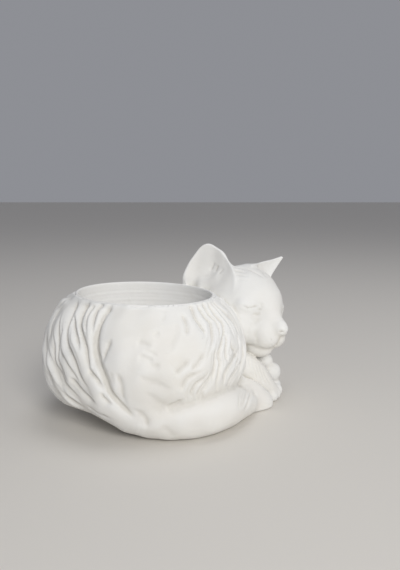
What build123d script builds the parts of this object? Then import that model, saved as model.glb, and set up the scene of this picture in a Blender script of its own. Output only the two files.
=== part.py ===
from build123d import *
import os

# Planter in the shape of a curled sleeping cat, in millimetres, +Z up.
# The origin is on the standing face, under the middle of the round planting mouth.
# The cat is cast in sections that are luted face to face round a plain planting cup.

os.makedirs("parts", exist_ok=True)

# Planting cup
mouth_radius = 22.0
cup_wall = 2.0
rim_height = 40.3
lip_width = 0.9
lip_drop = 0.95
floor_thickness = 9.0
floor_round = 6.0
cup_foot_inset = 11.0

# Rounded body that the sections make up
flank_depth = 9.3
belly_height = 18.5
base_inset = 10.5
undercut_inset = 5.8
undercut_height = 7.0

# Seams of the body, as bearings from +X about the mouth
haunch_seam = -108.0
shoulder_seam = -20.0
back_seam = 30.0

# Valley between rump and haunch
valley_radius = 6.0
valley_depth = 2.4
valley_tilt = -4.0
valley_slant = 18.0

# Tail rolled along the foot of the haunch
tail_radius = 7.0
tail_offset_share = 0.30
tail_path_share = 0.60
tail_offset_bearing = -31.5
tail_start = -104.0
tail_end = -25.0

# Root of the tail roll, rising along the seam towards the rump
root_radius = 3.0
root_rise = 17.0
root_inset = 4.4

# Main furrows of the fur: each sweeps down over the body and runs out at both ends
furrow_radius = 2.6
furrow_depth = 1.1
furrow_turn_share = 1.35
furrow_tilt = 10.0
furrow_sweep = 78.0
rump_furrow_start = -123.5
rump_furrow_step = -13.5
rump_furrow_count = 12
rump_furrow_slant = 40.0
flank_furrow_start = -30.0
flank_furrow_step = -13.0
flank_furrow_count = 3
flank_furrow_slant = -28.0

# Head, looking along its own forward axis
skull_radius = 15.0
head_bite = 0.4
head_bearing = 31.3
head_drop = 8.7
head_yaw = -47.0
head_nod = 4.0
head_roll = -10.0

# Outline of the head as shares of the skull radius: forward, half width, top, bottom
head_shares = (
    (-0.93, 0.22, 0.25, -0.20),
    (-0.80, 0.53, 0.55, -0.52),
    (-0.40, 0.89, 0.92, -0.87),
    (0.00, 1.02, 1.00, -0.97),
    (0.33, 1.04, 0.94, -0.96),
    (0.60, 0.92, 0.80, -1.00),
    (0.80, 0.70, 0.66, -0.99),
    (1.00, 0.46, 0.37, -0.95),
    (1.15, 0.37, 0.12, -0.82),
    (1.27, 0.27, -0.01, -0.52),
    (1.40, 0.13, -0.12, -0.36),
    (1.47, 0.07, -0.20, -0.32),
)

# Ears, standing on the skull
ear_thickness = 3.0
ear_bulge_share = 0.10
ear_hollow_radius = 11.0
ear_hollow_depth = 1.2
ear_hollow_height_share = 0.40
right_ear_width = 18.6
right_ear_height = 15.0
right_ear_place_shares = (-0.51, -0.68, 0.33)
right_ear_turn = -62.0
right_ear_nod = -1.0
right_ear_lean = 11.0
left_ear_width = 12.0
left_ear_height = 16.4
left_ear_place_shares = (0.0, 0.42, 0.70)
left_ear_turn = -11.0
left_ear_nod = -17.0
left_ear_lean = -54.0

# Outline of a limb as shares of its half sizes: forward, half width, top, bottom
limb_shares = (
    (-1.00, 0.35, 0.35, -0.35),
    (-0.75, 0.82, 0.80, -0.80),
    (-0.25, 1.00, 1.00, -1.00),
    (0.25, 0.97, 0.97, -0.97),
    (0.65, 0.80, 0.80, -0.86),
    (0.90, 0.56, 0.44, -0.66),
    (1.00, 0.28, 0.14, -0.40),
)

# Hind paw, beside the end of the tail
hind_paw_length = 21.4
hind_paw_width = 11.6
hind_paw_depth = 17.0
hind_paw_rise = 10.5
hind_paw_ahead = 5.6
hind_paw_aside = 13.3
hind_paw_yaw = 19.0
hind_paw_nod = 11.0

# Forelegs, folded under the chin
right_leg_length = 25.0
right_leg_width = 10.0
right_leg_depth = 10.2
right_leg_rise = 9.2
right_leg_reach = 3.7
right_leg_bearing = 12.8
right_leg_yaw = 8.0
right_leg_nod = 34.0
left_leg_length = 24.6
left_leg_width = 11.0
left_leg_depth = 13.2
left_leg_rise = 8.1
left_leg_reach = 7.7
left_leg_bearing = 28.4
left_leg_yaw = -10.0
left_leg_nod = 4.0

# Sizes that follow
cup_outer_radius = mouth_radius + cup_wall
belly_radius = cup_outer_radius + flank_depth
lip_radius = mouth_radius + lip_width
lip_height = rim_height - lip_drop
undercut_radius = belly_radius - undercut_inset
base_radius = undercut_radius - base_inset
cup_foot_radius = cup_outer_radius - cup_foot_inset
cup_foot_height = cup_foot_inset
tail_height = 2 * tail_radius
tail_path_radius = belly_radius * tail_path_share
tail_centre = Vector(belly_radius * tail_offset_share, 0).rotate(Axis.Z, tail_offset_bearing)
tail_tip = tail_centre + Vector(tail_path_radius, 0).rotate(Axis.Z, tail_end)
root_place = Vector(belly_radius - root_inset, 0, root_rise).rotate(Axis.Z, haunch_seam)
flank_rise = lip_height - belly_height
flank_turn_radius = (flank_depth**2 + flank_rise**2) / (2 * flank_depth)
furrow_turn_radius = flank_turn_radius * furrow_turn_share
head_reach = cup_outer_radius + skull_radius - head_bite
head_height = rim_height - head_drop
full_turn = 360
quarter_turn = 90


def bearing_plane(bearing):
    across = Vector(0, -1).rotate(Axis.Z, bearing)
    return Plane(origin=(0, 0), x_dir=Vector(1, 0).rotate(Axis.Z, bearing), z_dir=across)


def body_form(bearing, sweep_angle):
    with BuildPart() as form:
        with BuildSketch(bearing_plane(bearing)):
            with BuildLine():
                TangentArc((belly_radius, belly_height), (cup_outer_radius, lip_height), tangent=(0, 1))
                TangentArc((belly_radius, belly_height), (undercut_radius, undercut_height), tangent=(0, -1))
                Polyline(
                    (undercut_radius, undercut_height),
                    (base_radius, 0),
                    (0, 0),
                    (0, lip_height),
                    (cup_outer_radius, lip_height),
                )
            make_face()
        revolve(axis=Axis.Z, revolution_arc=sweep_angle)
    return form


def cut_by(*pieces):
    for piece in pieces:
        add(piece.part, mode=Mode.SUBTRACT)


def furrow(bearing, slant, tilt=furrow_tilt, radius=furrow_radius, depth=furrow_depth):
    outward = Vector(1, 0).rotate(Axis.Z, bearing)
    sideways = Vector(0, 1).rotate(Axis.Z, bearing)
    facing = outward.rotate(Axis((0, 0), sideways), -tilt)
    body_pivot = outward * (belly_radius - flank_turn_radius) + Vector(0, 0, belly_height)
    pivot = body_pivot + facing * (flank_turn_radius + radius - depth - furrow_turn_radius)
    turn = Axis(pivot, sideways.rotate(Axis((0, 0), facing), slant))
    start = facing.rotate(turn, -furrow_sweep / 2)
    place = pivot + start * furrow_turn_radius
    with BuildPart() as sweep:
        with BuildSketch(Plane(place, x_dir=start, z_dir=turn.direction.cross(start))):
            Circle(radius)
        revolve(axis=turn, revolution_arc=furrow_sweep)
    return sweep


def furrows(start, step, count, slant):
    return [furrow(start + step * number, slant) for number in range(count)]


def turned(yaw, nod=0, roll=0):
    return Location((0, 0), (0, 0, yaw)) * Location((0, 0), (0, nod, 0)) * Location((0, 0), (roll, 0, 0))


def facing_plane(place, forward=0):
    stand = Plane(place * Location((forward, 0, 0)))
    return Plane(origin=stand.origin, x_dir=stand.y_dir, z_dir=stand.x_dir)


def swelling(place, half_length, half_width, half_depth, shares):
    sections = []
    for forward, across, top, bottom in shares:
        middle = (0, half_depth * (top + bottom) / 2)
        with BuildSketch(facing_plane(place, half_length * forward)) as section:
            with BuildLine():
                for quarter in range(0, full_turn, quarter_turn):
                    EllipticalCenterArc(
                        middle,
                        half_width * across,
                        half_depth * (top - bottom) / 2,
                        start_angle=quarter,
                        arc_size=quarter_turn,
                    )
            make_face()
        sections.append(section.sketch)
    loft(sections)


def finish(piece, label):
    piece.part.label = label
    export_step(piece.part, f"parts/{label}.step")


haunch_form = body_form(haunch_seam, shoulder_seam - haunch_seam)
shoulder_form = body_form(shoulder_seam, back_seam - shoulder_seam)
torso_form = body_form(back_seam, full_turn + haunch_seam - back_seam)

# Planting cup: a plain round cup whose outside the body sections are luted to
with BuildPart() as cup_blank:
    with BuildSketch(Plane.XZ):
        with BuildLine():
            Polyline(
                (0, 0),
                (cup_foot_radius, 0),
                (cup_outer_radius, cup_foot_height),
                (cup_outer_radius, lip_height),
                (lip_radius, rim_height),
                (0, rim_height),
                close=True,
            )
        make_face()
    revolve(axis=Axis.Z)

with BuildPart() as planting_cup:
    add(cup_blank.part)
    with BuildSketch(Plane.XZ) as hollow:
        with BuildLine():
            Polyline(
                (0, floor_thickness),
                (mouth_radius, floor_thickness),
                (mouth_radius, rim_height),
                (0, rim_height),
                close=True,
            )
        make_face()
        fillet(hollow.vertices().group_by(Axis.Y)[0].sort_by(Axis.X)[-1], floor_round)
    revolve(axis=Axis.Z, mode=Mode.SUBTRACT)
finish(planting_cup, "planting_cup")

# Valley: a broad furrow down the seam between rump and haunch
valley = furrow(haunch_seam, valley_slant, valley_tilt, valley_radius, valley_depth)

# Tail: a roll along the foot of the haunch, with the part of the body that is beside and under it
with BuildPart() as tail_foot:
    add(haunch_form.part)
    split(bisect_by=Plane.XY.offset(tail_height), keep=Keep.BOTTOM)
    cut_by(valley)

with BuildPart() as tail:
    tail_plane = bearing_plane(tail_start)
    tail_plane.origin = tail_centre
    with BuildSketch(tail_plane):
        with Locations((tail_path_radius, tail_radius)):
            Circle(tail_radius)
    revolve(axis=Axis(tail_centre, Vector(0, 0, 1)), revolution_arc=tail_end - tail_start)
    for end in (tail_start, tail_end):
        with Locations(tail_centre + Vector(tail_path_radius, 0, tail_radius).rotate(Axis.Z, end)):
            Sphere(tail_radius)
    tail_head = tail_centre + Vector(tail_path_radius, 0, tail_radius).rotate(Axis.Z, tail_start)
    root_run = root_place - tail_head
    with Locations(Plane(tail_head + root_run / 2, z_dir=root_run)):
        Cone(tail_radius, root_radius, root_run.length)
    with Locations(root_place):
        Sphere(root_radius)
    add(tail_foot.part)
    cut_by(cup_blank)
finish(tail, "tail")

# Haunch: the near side of the body, resting on the tail
with BuildPart() as haunch:
    add(haunch_form.part)
    split(bisect_by=Plane.XY.offset(tail_height), keep=Keep.TOP)
    cut_by(cup_blank, tail, valley)
    cut_by(*furrows(flank_furrow_start, flank_furrow_step, flank_furrow_count, flank_furrow_slant))
finish(haunch, "haunch")

# Torso: rump and back, round the far side of the mouth
with BuildPart() as torso:
    add(torso_form.part)
    cut_by(cup_blank, tail, valley)
    cut_by(*furrows(rump_furrow_start, rump_furrow_step, rump_furrow_count, rump_furrow_slant))
finish(torso, "torso")

# Shoulder: the chest that carries head and forelegs
with BuildPart() as shoulder:
    add(shoulder_form.part)
    cut_by(cup_blank, tail)
finish(shoulder, "shoulder")

# Head: one lump that swells at the skull and runs out into the muzzle
head_centre = Vector(head_reach, 0, head_height).rotate(Axis.Z, head_bearing)
head_place = Location(head_centre) * turned(head_yaw, head_nod, head_roll)
with BuildPart() as head:
    swelling(head_place, skull_radius, skull_radius, skull_radius, head_shares)
    with BuildSketch():
        Circle(cup_outer_radius)
    extrude(amount=head_height + 2 * skull_radius, mode=Mode.SUBTRACT)
    cut_by(torso, shoulder)
finish(head, "head")


# Ears: hollowed leaves that stand on the skull
def ear(shares, angles, width, height):
    place = head_place * Location(Vector(*shares) * skull_radius) * turned(*angles)
    with BuildPart() as leaf:
        with BuildSketch(facing_plane(place)):
            with BuildLine():
                SagittaArc((-width / 2, 0), (0, height), width * ear_bulge_share)
                SagittaArc((0, height), (width / 2, 0), width * ear_bulge_share)
                Line((width / 2, 0), (-width / 2, 0))
            make_face()
        extrude(amount=ear_thickness / 2, both=True)
        hollow_reach = ear_thickness / 2 + ear_hollow_radius - ear_hollow_depth
        with Locations(place * Location((hollow_reach, 0, height * ear_hollow_height_share))):
            Sphere(ear_hollow_radius, mode=Mode.SUBTRACT)
        cut_by(cup_blank, torso, head)
    return leaf


right_ear_angles = (right_ear_turn, right_ear_nod, right_ear_lean)
ear_right = ear(right_ear_place_shares, right_ear_angles, right_ear_width, right_ear_height)
finish(ear_right, "ear_right")
left_ear_angles = (left_ear_turn, left_ear_nod, left_ear_lean)
ear_left = ear(left_ear_place_shares, left_ear_angles, left_ear_width, left_ear_height)
finish(ear_left, "ear_left")


# Limbs: each lies on the ground and is cut by the larger pieces that it meets
def limb(centre, angles, length, width, depth, larger):
    with BuildPart() as leg:
        swelling(Location(centre) * turned(*angles), length / 2, width / 2, depth / 2, limb_shares)
        split(bisect_by=Plane.XY, keep=Keep.TOP)
        cut_by(*larger)
    return leg


hind_paw_centre = tail_tip + Vector(hind_paw_ahead, hind_paw_aside, hind_paw_rise - hind_paw_depth / 2)
hind_paw = limb(
    hind_paw_centre,
    (hind_paw_yaw, hind_paw_nod),
    hind_paw_length,
    hind_paw_width,
    hind_paw_depth,
    (cup_blank, tail, haunch, shoulder),
)
finish(hind_paw, "hind_paw")

foreleg_right = limb(
    Vector(belly_radius + right_leg_reach, 0, right_leg_rise).rotate(Axis.Z, right_leg_bearing),
    (right_leg_yaw, right_leg_nod),
    right_leg_length,
    right_leg_width,
    right_leg_depth,
    (cup_blank, haunch, shoulder, head, hind_paw),
)
finish(foreleg_right, "foreleg_right")

foreleg_left = limb(
    Vector(belly_radius + left_leg_reach, 0, left_leg_rise).rotate(Axis.Z, left_leg_bearing),
    (left_leg_yaw, left_leg_nod),
    left_leg_length,
    left_leg_width,
    left_leg_depth,
    (cup_blank, torso, shoulder, head, foreleg_right),
)
finish(foreleg_left, "foreleg_left")
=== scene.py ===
import bpy
import math
import numpy as np
import openvdb
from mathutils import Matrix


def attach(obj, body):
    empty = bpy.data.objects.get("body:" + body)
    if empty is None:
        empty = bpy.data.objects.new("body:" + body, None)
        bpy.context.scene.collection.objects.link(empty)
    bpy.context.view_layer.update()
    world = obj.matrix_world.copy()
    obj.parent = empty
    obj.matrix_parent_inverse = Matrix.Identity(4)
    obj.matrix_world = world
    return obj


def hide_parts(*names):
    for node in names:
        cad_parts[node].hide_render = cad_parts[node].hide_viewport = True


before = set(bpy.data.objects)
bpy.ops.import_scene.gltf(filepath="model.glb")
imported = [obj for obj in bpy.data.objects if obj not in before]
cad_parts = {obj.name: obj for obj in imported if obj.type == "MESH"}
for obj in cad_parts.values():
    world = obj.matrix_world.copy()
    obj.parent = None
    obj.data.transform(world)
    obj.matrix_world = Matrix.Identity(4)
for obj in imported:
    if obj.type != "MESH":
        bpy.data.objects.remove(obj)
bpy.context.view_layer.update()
print("frame loaded:", len(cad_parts), "sections")

# All sculpting is in millimetres, the meshes go out in metres
mm = 0.001
dice = np.random.default_rng(41)


# Field helpers: negative inside, points are rows of x, y, z

def unit(v):
    v = np.asarray(v, float)
    return v / np.linalg.norm(v)


def blend(a, b, k):  # rounded union
    h = np.clip(0.5 + 0.5 * (b - a) / k, 0, 1)
    return b + (a - b) * h - k * h * (1 - h)


def bump01(x, width):
    return np.exp(-(x / width) ** 2)


def ease(x, a, b):
    t = np.clip((x - a) / (b - a), 0, 1)
    return t * t * (3 - 2 * t)


def lump(p, centre, radii, axes=None):  # ellipsoid
    q = p - np.asarray(centre, np.float32)
    if axes is not None:
        q = q @ np.asarray(axes, np.float32).T
    r = np.asarray(radii, np.float32)
    k0 = np.sqrt(((q / r) ** 2).sum(-1))
    k1 = np.sqrt(((q / (r * r)) ** 2).sum(-1)) + 1e-6
    return k0 * (k0 - 1) / k1


def rod(p, a, b, ra, rb):  # tapered round rod
    a, b = np.asarray(a, np.float32), np.asarray(b, np.float32)
    d = b - a
    t = np.clip(((p - a) @ d) / (d @ d), 0, 1)
    return np.linalg.norm(p - a - t[:, None] * d, axis=-1) - (ra + (rb - ra) * t)


def roll(p, points, radii):  # one smooth roll through a few chosen points
    line = curveThrough(np.column_stack([points, radii]), 6)
    out = np.full(len(p), 1e9, np.float32)
    for a, b in zip(line, line[1:]):
        out = np.minimum(out, rod(p, a[:3], b[:3], a[3], b[3]))
    return out


def leafEdge(w, h, outline):  # signed distance to a closed outline in a plane
    pts = np.asarray(outline, np.float32)
    best = np.full(w.shape, 1e9, np.float32)
    inside = np.zeros(w.shape, bool)
    for (x0, y0), (x1, y1) in zip(pts, np.roll(pts, -1, 0)):
        ex, ey = x1 - x0, y1 - y0
        t = np.clip(((w - x0) * ex + (h - y0) * ey) / (ex * ex + ey * ey), 0, 1)
        best = np.minimum(best, (w - x0 - t * ex) ** 2 + (h - y0 - t * ey) ** 2)
        crosses = (y0 <= h) != (y1 <= h)
        at = x0 + (h - y0) * ex / (ey if ey else 1e-9)
        inside ^= crosses & (w < at)
    d = np.sqrt(best)
    return np.where(inside, -d, d)


def curveThrough(points, steps):  # smooth line through a few chosen points
    pts = np.asarray(points, float)
    ends = np.vstack([2 * pts[0] - pts[1], pts, 2 * pts[-1] - pts[-2]])
    out = []
    for i in range(1, len(ends) - 2):
        a, b, c, d = ends[i - 1:i + 3]
        for t in np.arange(steps) / steps:
            out.append(0.5 * (2 * b + (c - a) * t + (2 * a - 5 * b + 4 * c - d) * t ** 2
                              + (3 * b - a - 3 * c + d) * t ** 3))
    return np.vstack(out + [pts[-1]])


# Body: the round profile of the cast, with rump, thigh and the valley between them
body = {
    "belly": (33.3, 18.5), "lip": (24.0, 39.35), "undercut": (27.5, 7.0), "foot": 17.0, "footBlend": 1.5,
    "cupWall": 22.7, "seams": (-108.0, -20.0, 30.0),
    "swells": [  # height, bearing and its spread, level and its spread
        (0.9, -140, 30, 31, 8),  # full rump
        (1.3, -62, 26, 22, 10),  # thigh
        (0.5, -97, 7, 20, 14),  # smooth back of the thigh
    ],
    "backRoom": 0.55, "backMiddle": -245, "backReach": (95, 80),  # room for the locks of the back
}
valley = {
    "path": [(-110, 41), (-113, 37), (-114, 32), (-112, 27), (-107, 22), (-103, 17), (-96, 12), (-90, 8),
             (-84, 2)],
    "depth": 1.6, "width": 2.0, "leftWider": 1.25, "sharpness": 1.2,
    "fade": (40.5, 30), "upperShare": 0.55, "lowerShare": 0.45, "deepens": (34, 20),
}
rim = {"tilt": 0.034, "reach": (18, 40)}


def rimFall(x, z):  # the rim falls a little to the right
    return rim["tilt"] * x * ease(z, *rim["reach"])


def arcRadius(z, end):
    r0, z0 = body["belly"]
    r1, z1 = end
    c = (r0 ** 2 - r1 ** 2 - (z1 - z0) ** 2) / (2 * (r0 - r1))
    return c + np.sqrt(np.clip((r0 - c) ** 2 - (z - z0) ** 2, 0.01, None))


def profile(z):
    r, zu = body["undercut"]
    line = body["foot"] + (r - body["foot"]) * z / zu
    low = blend(arcRadius(np.maximum(z, zu - 3), body["undercut"]), line, body["footBlend"])
    return np.where(z > body["belly"][1], arcRadius(z, body["lip"]), low)


def bearing(p):
    return np.degrees(np.arctan2(p[:, 1], p[:, 0]))


def turnFrom(a, b):  # signed difference of two bearings
    return (a - b + 180) % 360 - 180


def bodyRadius(theta, z):
    r = profile(z)
    for height, towards, spread, level, rise in body["swells"]:
        r = r + height * bump01(turnFrom(theta, towards), spread) * bump01(z - level, rise)
    r = r - body["backRoom"] * ease(np.abs(turnFrom(theta, body["backMiddle"])), *body["backReach"])
    path = np.array(valley["path"], float)[::-1]
    middle = np.interp(z, path[:, 1], path[:, 0])
    off = np.radians(turnFrom(theta, middle)) * r
    depth = valley["depth"] * ease(z, *valley["fade"])
    depth = depth * (valley["upperShare"] + valley["lowerShare"] * ease(z, *valley["deepens"]))
    side = np.where(off < 0, valley["leftWider"], 1.0) * valley["width"]
    return r - depth / (1 + (off / side) ** 2) ** valley["sharpness"]


def bodyField(p):
    r = np.hypot(p[:, 0], p[:, 1])
    z = p[:, 2]
    level = z + rimFall(p[:, 0], z)
    return (r - bodyRadius(bearing(p), level)) * (0.72 + 0.14 * ease(z, 4, 14))  # evened out at the foot


# Hind leg folded along the foot of the haunch, with its heel at the right
shank = {
    "points": [(-9.6, -27.4, 20.0), (-8.6, -26.8, 14.0), (-5.0, -25.6, 9.8), (2.2, -25.0, 7.6),
               (11.0, -24.2, 7.0), (19.0, -21.8, 6.9), (24.6, -17.4, 6.7), (28.0, -12.2, 5.8),
               (31.4, -7.0, 4.6)],
    "radii": (3.0, 4.2, 5.6, 6.8, 7.2, 7.1, 6.7, 6.0, 5.0),
}


def shankField(p):
    return roll(p, shank["points"], shank["radii"])


# Hind paw: a smooth leaf between the heel and the near foreleg
hindPaw = {
    "centre": (32.2, -0.4, 2.0), "radii": (10.4, 5.8, 8.6), "yaw": 19.0, "nod": 11.0,
    "toe": ((39.4, 1.6, 1.2), (3.4, 3.2, 3.4)), "toeBlend": 2.5,
}


def turnAxes(yaw, nod=0.0, tip=0.0):
    y, n, t = np.radians([yaw, nod, tip])
    forward = np.array([math.cos(y) * math.cos(n), math.sin(y) * math.cos(n), -math.sin(n)])
    left = np.array([-math.sin(y), math.cos(y), 0.0])
    up = np.cross(forward, left)
    left, up = math.cos(t) * left + math.sin(t) * up, math.cos(t) * up - math.sin(t) * left
    return np.array([forward, left, up])


def hindPawField(p):
    axes = turnAxes(hindPaw["yaw"], hindPaw["nod"])
    d = lump(p, hindPaw["centre"], hindPaw["radii"], axes)
    return blend(d, lump(p, *hindPaw["toe"]), hindPaw["toeBlend"])


# Forelegs: the near one slants down to its toes, the far paw lies curled in under the chin
nearLeg = {
    "points": [(29.5, 7.0, 14.0), (34.0, 8.0, 11.9), (38.4, 8.8, 7.9), (41.8, 9.2, 3.8)],
    "radii": (5.2, 5.1, 4.7, 3.7),
    "toes": [((43.2, 6.6, 1.8), (2.3, 1.5, 2.1)), ((44.4, 8.8, 2.1), (2.4, 1.6, 2.3)),
             ((45.4, 11.4, 2.5), (2.4, 1.7, 2.6))],
}
farLeg = {
    "points": [(30.0, 21.0, 9.5), (37.0, 20.2, 9.2), (41.0, 19.2, 7.2)],
    "radii": (6.0, 6.0, 5.0),
    "toes": [((41.2, 16.8, 12.0), (3.7, 3.4, 3.0)), ((44.0, 17.0, 7.5), (4.0, 3.5, 3.7)),
             ((44.6, 16.6, 3.0), (3.4, 2.8, 2.4)), ((43.4, 20.6, 3.0), (3.0, 2.6, 2.8))],
}
toeYaw, toeBlend = 12, 1.0


def legField(p, leg):
    d = roll(p, leg["points"], leg["radii"])
    for place, radii in leg["toes"]:
        d = blend(d, lump(p, place, radii, turnAxes(toeYaw)), toeBlend)
    return d


# Head: built along its own forward, far-side and up axes
head = {
    "centre": np.array([33.0, 20.1, 31.6]), "yaw": -47.0, "nod": 4.0, "tip": -10.0,
    "skull": ((0.3, 0.5, 0.3), (14.4, 14.8, 14.8)),
    "forms": [  # shape, whether both sides have it, its measures, its blend
        (lump, True, ((4.0, 7.2, -6.2), (8.8, 8.4, 7.6)), 4.0),  # cheeks
        (lump, False, ((8.8, 0, 3.6), (6.0, 6.4, 6.4)), 4.0),  # brow
        (rod, False, ((10.8, 0, 1.6), (18.6, 0, -2.9), 4.9, 2.6), 3.4),  # bridge of the nose
        (lump, False, ((11.6, 0, -4.6), (7.4, 6.6, 5.0)), 3.0),  # root of the muzzle
        (lump, True, ((14.3, 2.0, -7.7), (5.9, 4.5, 4.2)), 3.0),  # whisker pads
        (lump, False, ((20.3, 0, -4.0), (1.9, 2.2, 1.6)), 1.8),  # nose
        (lump, False, ((10.2, 0, -12.3), (6.6, 4.6, 3.6)), 1.2),  # chin
        (rod, False, ((2.0, 0, -13.6), (8.4, 0.6, -15.0), 5.0, 2.6), 2.0),  # throat
        (lump, True, ((9.2, 7.8, 2.0), (2.8, 4.2, 2.6)), 1.6),  # closed lids
    ],
}
headAxes = turnAxes(head["yaw"], head["nod"], head["tip"])


def onHead(f, l, u):
    return head["centre"] + np.array([f, l, u]) @ headAxes


def headField(p):
    q = (p - head["centre"].astype(np.float32)) @ headAxes.astype(np.float32).T
    m = q.copy()
    m[:, 1] = np.abs(m[:, 1])  # the two sides are alike
    d = lump(q, *head["skull"])
    for shape, paired, measures, soft in head["forms"]:
        d = blend(d, shape(m if paired else q, *measures), soft)
    return d


# Lines cut into the face, as (forward, far side, up) points on the head, half width, depth
faceLines = [
    ([(10.3, -11.7, 1.7), (11.2, -10.8, 1.8), (12.0, -9.3, 1.5), (12.6, -8.0, 2.1), (13.0, -7.2, 2.5),
      (13.5, -6.5, 2.5)], 0.32, 0.55),  # closed eye
    ([(13.5, -6.5, 1.4), (13.9, -5.9, 1.5), (14.5, -5.4, 1.6)], 0.35, 0.4),  # inner corner
    ([(12.7, -7.9, -0.1), (13.7, -6.4, -0.3), (14.5, -5.5, 0.6)], 0.6, 0.26),  # under the lid
    ([(13.8, -5.7, 4.0), (14.2, -5.6, 2.8), (14.5, -5.3, 1.4)], 0.9, 0.2),  # beside the bridge
    ([(14.8, -7.0, -5.1), (14.9, -6.9, -7.6), (15.4, -6.3, -9.1),
      (14.5, -5.6, -10.4)], 1.2, 0.3),  # behind the whisker pad
    ([(14.3, -5.4, -11.2), (15.4, -4.7, -11.7), (17.0, -3.4, -11.8), (18.0, -1.7, -11.5),
      (18.2, 0, -11.2)], 0.35, 0.35),  # mouth
    ([(21.9, 0, -5.6), (20.9, 0, -7.2), (19.6, 0, -9.2), (18.2, 0, -11.0)], 0.32, 0.5),  # nose to mouth
    ([(20.8, -1.9, -4.9), (21.6, -1.5, -4.3), (22.1, -0.7, -4.5)], 0.4, 0.75),  # nostril
    ([(-0.4, -8.0, 14.0), (0.6, -5.1, 14.0), (4.3, -4.5, 13.6)], 0.8, 0.34),  # hair between the ears
    ([(1.1, -8.7, 13.0), (2.8, -6.7, 13.0), (5.7, -5.4, 12.7)], 0.8, 0.3),
    ([(2.4, -9.5, 11.7), (4.8, -7.8, 11.7), (7.1, -6.0, 11.7)], 0.8, 0.24),
    ([(2.2, -3.6, 14.4), (4.5, -2.9, 14.1), (7.2, -2.0, 13.1)], 0.8, 0.34),
    ([(4.5, -2.9, 14.1), (6.9, -1.6, 13.2), (9.3, -0.9, 12.1)], 0.8, 0.3),
    ([(4.6, -9.8, 10.1), (6.4, -8.5, 10.3), (8.0, -7.1, 10.3)], 0.5, 0.2),
]
whiskerPits = [(18.0, -4.7, -8.2), (18.9, -3.3, -7.5), (17.9, 0.3, -8.6), (18.5, -2.7, -8.9)]
pit = {"length": 0.2, "width": 0.35, "depth": 0.4}


# Ears: hollow leaves, each drawn in its own plane as across, up
nearEar = {
    "place": (21.2, 19.4, 42.7), "out": (-0.30, -0.945, 0.13), "up": (0.0, 0.14, 0.99),
    "outline": [(-9.2, -6.0), (-9.2, -1.6), (-8.3, 2.7), (-6.1, 7.5), (-3.9, 10.7), (-1.4, 12.0),
                (1.3, 11.4), (4.8, 9.0), (7.6, 5.8), (9.6, 2.2), (10.2, -2.0), (6.0, -6.0)],
    "curl": 2.6, "half": 8.8, "thick": 0.95,
}
earRoot = ((19.4, 18.4, 39.4), (24.2, 17.0, 41.2), 2.3, 1.8)  # soft swelling at the foot of the near ear
farEar = {
    "place": (40.9, 26.6, 41.9), "out": (0.554, -0.791, 0.259), "up": (0.74, 0.58, 0.43),
    "outline": [(-6.2, -5.0), (-5.4, -1.0), (-4.2, 3.6), (-2.6, 8.6), (-1.2, 13.2), (-0.5, 15.5),
                (0.2, 15.9), (0.7, 15.0), (1.7, 10.4), (3.0, 5.2), (5.0, 0.0), (7.2, -5.0)],
    "curl": 2.2, "half": 5.5, "thick": 0.75,
}
earMake = {"lean": 0.10, "rootThick": 0.9, "rootReach": (4, -3), "evened": 0.8, "rounding": 0.7}


def earAxes(ear):
    out = unit(ear["out"])
    up = unit(np.asarray(ear["up"]) - np.dot(ear["up"], out) * out)
    return np.array([out, np.cross(up, out), up])


def earField(p, ear):
    q = (p - np.asarray(ear["place"], np.float32)) @ earAxes(ear).astype(np.float32).T
    n, w, h = q.T
    bowl = ear["curl"] * ((w / ear["half"]) ** 2 - 0.5) - earMake["lean"] * h
    skin = np.abs(n - bowl) - (ear["thick"] + earMake["rootThick"] * ease(h, *earMake["rootReach"]))
    edge = leafEdge(w, h, curveThrough(ear["outline"] + ear["outline"][:1], 4)[:-1])
    return -blend(-skin * earMake["evened"], -edge, earMake["rounding"])


# Every form of the cast in one call, so that each piece knows its neighbours
farOff = 6.0
rooms = {  # a form is worked out only in its own room: low corner, high corner, field
    "tail": ((-18, -40, -6), (40, -2, 28), shankField),
    "hind_paw": ((16, -14, -9), (54, 14, 18), hindPawField),
    "foreleg_right": ((18, -5, -6), (56, 22, 28), lambda q: legField(q, nearLeg)),
    "foreleg_left": ((18, 8, -6), (56, 34, 24), lambda q: legField(q, farLeg)),
    "head": ((10, -8, 8), (60, 46, 56), headField),
    "ear_right": ((4, 6, 28), (40, 30, 62), lambda q: earField(q, nearEar)),
    "ear_left": ((26, 12, 28), (60, 46, 60), lambda q: earField(q, farEar)),
    "ear_root": ((12, 10, 32), (34, 26, 50), lambda q: rod(q, *earRoot)),
}
joins = {  # how widely the forms run into each other
    "leg": 1.2, "thigh": 4.0, "thighReach": (14, -6), "paw": 4.0, "foreleg": 0.7,
    "ear": 3.0, "earRoot": 2.4, "face": 0.8, "ground": 0.9,
}
neighbours = {
    "tail": ("body", "hind_paw"),
    "hind_paw": ("body", "tail", "foreleg_right", "foreleg_left"),
    "foreleg_right": ("body", "head", "hind_paw", "foreleg_left"),
    "foreleg_left": ("body", "head", "hind_paw", "foreleg_right"),
    "head": ("body", "ear_right", "ear_left", "foreleg_right", "foreleg_left"),
    "ear_right": ("head", "body"),
    "ear_left": ("head", "body"),
    "body": ("tail", "hind_paw", "foreleg_right", "foreleg_left", "head", "ear_right"),
}


def nearBy(p, low, high, field):
    out = np.full(len(p), farOff, np.float32)
    near = ((p > np.asarray(low, np.float32)) & (p < np.asarray(high, np.float32))).all(-1)
    if near.any():
        out[near] = field(p[near])
    return out


def forms(p):
    d = {"body": bodyField(p)}
    for name, room in rooms.items():
        d[name] = nearBy(p, *room)
    return d


def bareBody(d, p):  # the leg grows out of the thigh and into its paw
    g = blend(d["body"], d["tail"], joins["leg"] + joins["thigh"] * ease(p[:, 0], *joins["thighReach"]))
    return blend(g, d["hind_paw"], joins["paw"])


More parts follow.
